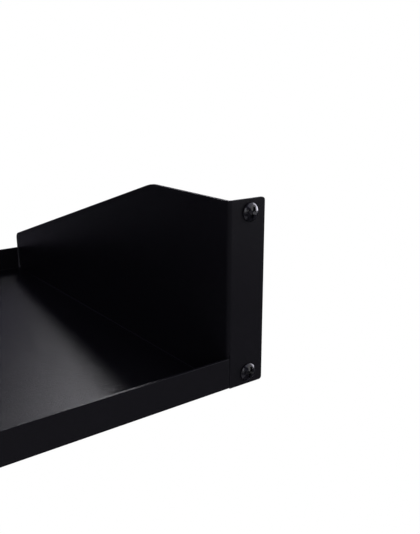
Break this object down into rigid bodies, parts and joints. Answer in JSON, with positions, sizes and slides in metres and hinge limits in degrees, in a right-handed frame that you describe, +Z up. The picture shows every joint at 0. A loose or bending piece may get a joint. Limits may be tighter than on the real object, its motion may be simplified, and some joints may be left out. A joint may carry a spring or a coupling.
{
  "type": "rack shelf",
  "caption": "Black steel shelf for a 19-inch rack, folded from a single sheet, with tapering side walls, upturned front and rear lips and screwed ears.",
  "frame": {"origin": "middle of the fixing pattern of the ears, on the plane of their rear faces, where they seat on the rack", "axes": "+X across the rack, +Y towards the rear of the shelf, +Z up"},
  "size_m": [0.4826, 0.258, 0.0885],
  "materials": {
    "powder_coated_steel": "black powder coat with a fine, low-gloss texture",
    "black_plated_steel": "glossy black plating"
  },
  "bodies": {
    "root": {"shelf_tray": "powder_coated_steel", "rack_screws": "black_plated_steel"}
  },
  "joints": []
}
